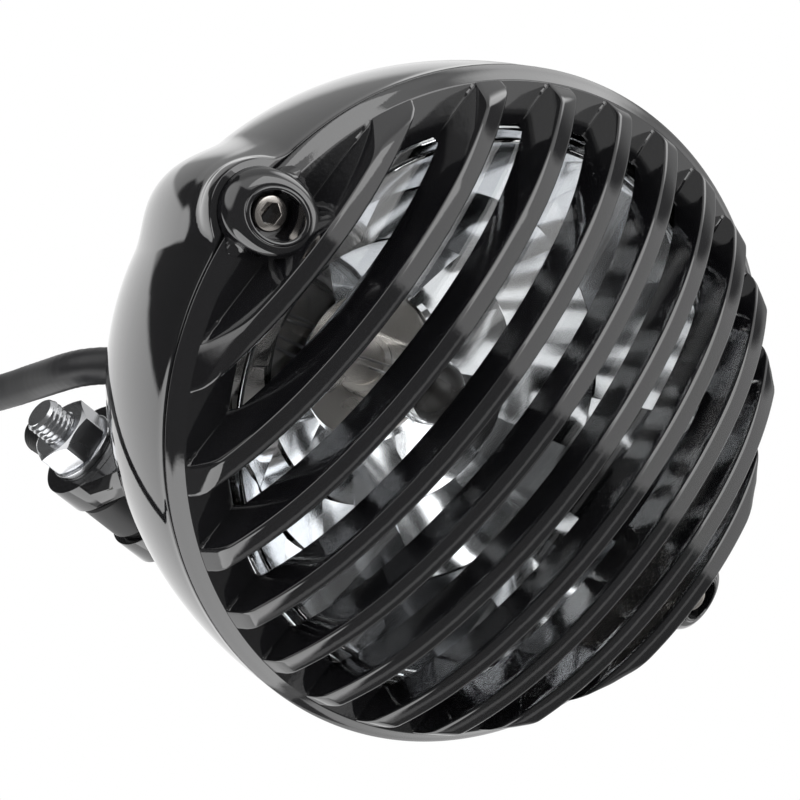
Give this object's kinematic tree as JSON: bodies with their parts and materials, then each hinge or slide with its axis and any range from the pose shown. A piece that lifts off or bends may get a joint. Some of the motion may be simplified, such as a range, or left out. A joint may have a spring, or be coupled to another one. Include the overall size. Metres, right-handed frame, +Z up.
{
  "type": "motorcycle headlight",
  "caption": "Round motorcycle headlight: black bullet shell, domed black grille of vertical fins over a clear lens, hinged rear bracket with a mounting stud, and a short cable",
  "frame": {"origin": "on the mounting stud's axis, at its shoulder, where the stud meets the face it is bolted to", "axes": "the lamp shines along -Y, +Y runs rearwards along the stud, +Z is up and the pivot axis is parallel to X"},
  "size_m": [0.1776, 0.2529, 0.3312],
  "materials": {
    "gloss_black": "gloss black enamel, baked on",
    "grille_black": "gloss black enamel on a casting",
    "satin_black": "satin black, on steel",
    "lens_glass": "clear, polished, stepped at its edge",
    "bulb_glass": "clear quartz",
    "reflector": "bright vacuum coating in facets",
    "zinc": "bright zinc plate",
    "stainless": "plain stainless steel",
    "spring_steel": "plain spring steel",
    "rubber": "dull black rubber",
    "sleeve": "smooth black PVC",
    "dark_plastic": "dark heat-proof moulding",
    "white_nylon": "natural white nylon",
    "brass": "tin-flashed brass"
  },
  "bodies": {
    "stem": {"eye_stud": "satin_black"},
    "lamp": {"shell": "gloss_black", "rim_seal": "rubber", "grille_bezel": "grille_black", "lens": "lens_glass", "lens_gasket": "rubber", "reflector": "reflector", "retaining_clips": "spring_steel", "clip_screws": "zinc", "bulb_glass": "bulb_glass", "bulb_base": "stainless", "bulb_clip": "spring_steel", "bulb_boot": "rubber", "bulb_plug": "dark_plastic", "side_screws": "stainless", "side_nuts": "zinc", "bracket": "gloss_black", "backing_plate": "zinc", "bracket_screws": "zinc", "pivot_spacers": "rubber", "pivot_washers": "zinc", "pivot_bolt": "zinc", "pivot_nut": "zinc", "cable_grommet": "rubber", "inner_lead": "sleeve", "cable_sleeve": "sleeve", "cable_plug": "white_nylon", "plug_terminals": "brass"}
  },
  "joints": [
    {"name": "aim_tilt", "type": "hinge", "parent": "stem", "child": "lamp", "pos_m": [0, -0.017, 0], "axis": [1, 0, 0], "range_deg": [-15, 15]}
  ]
}
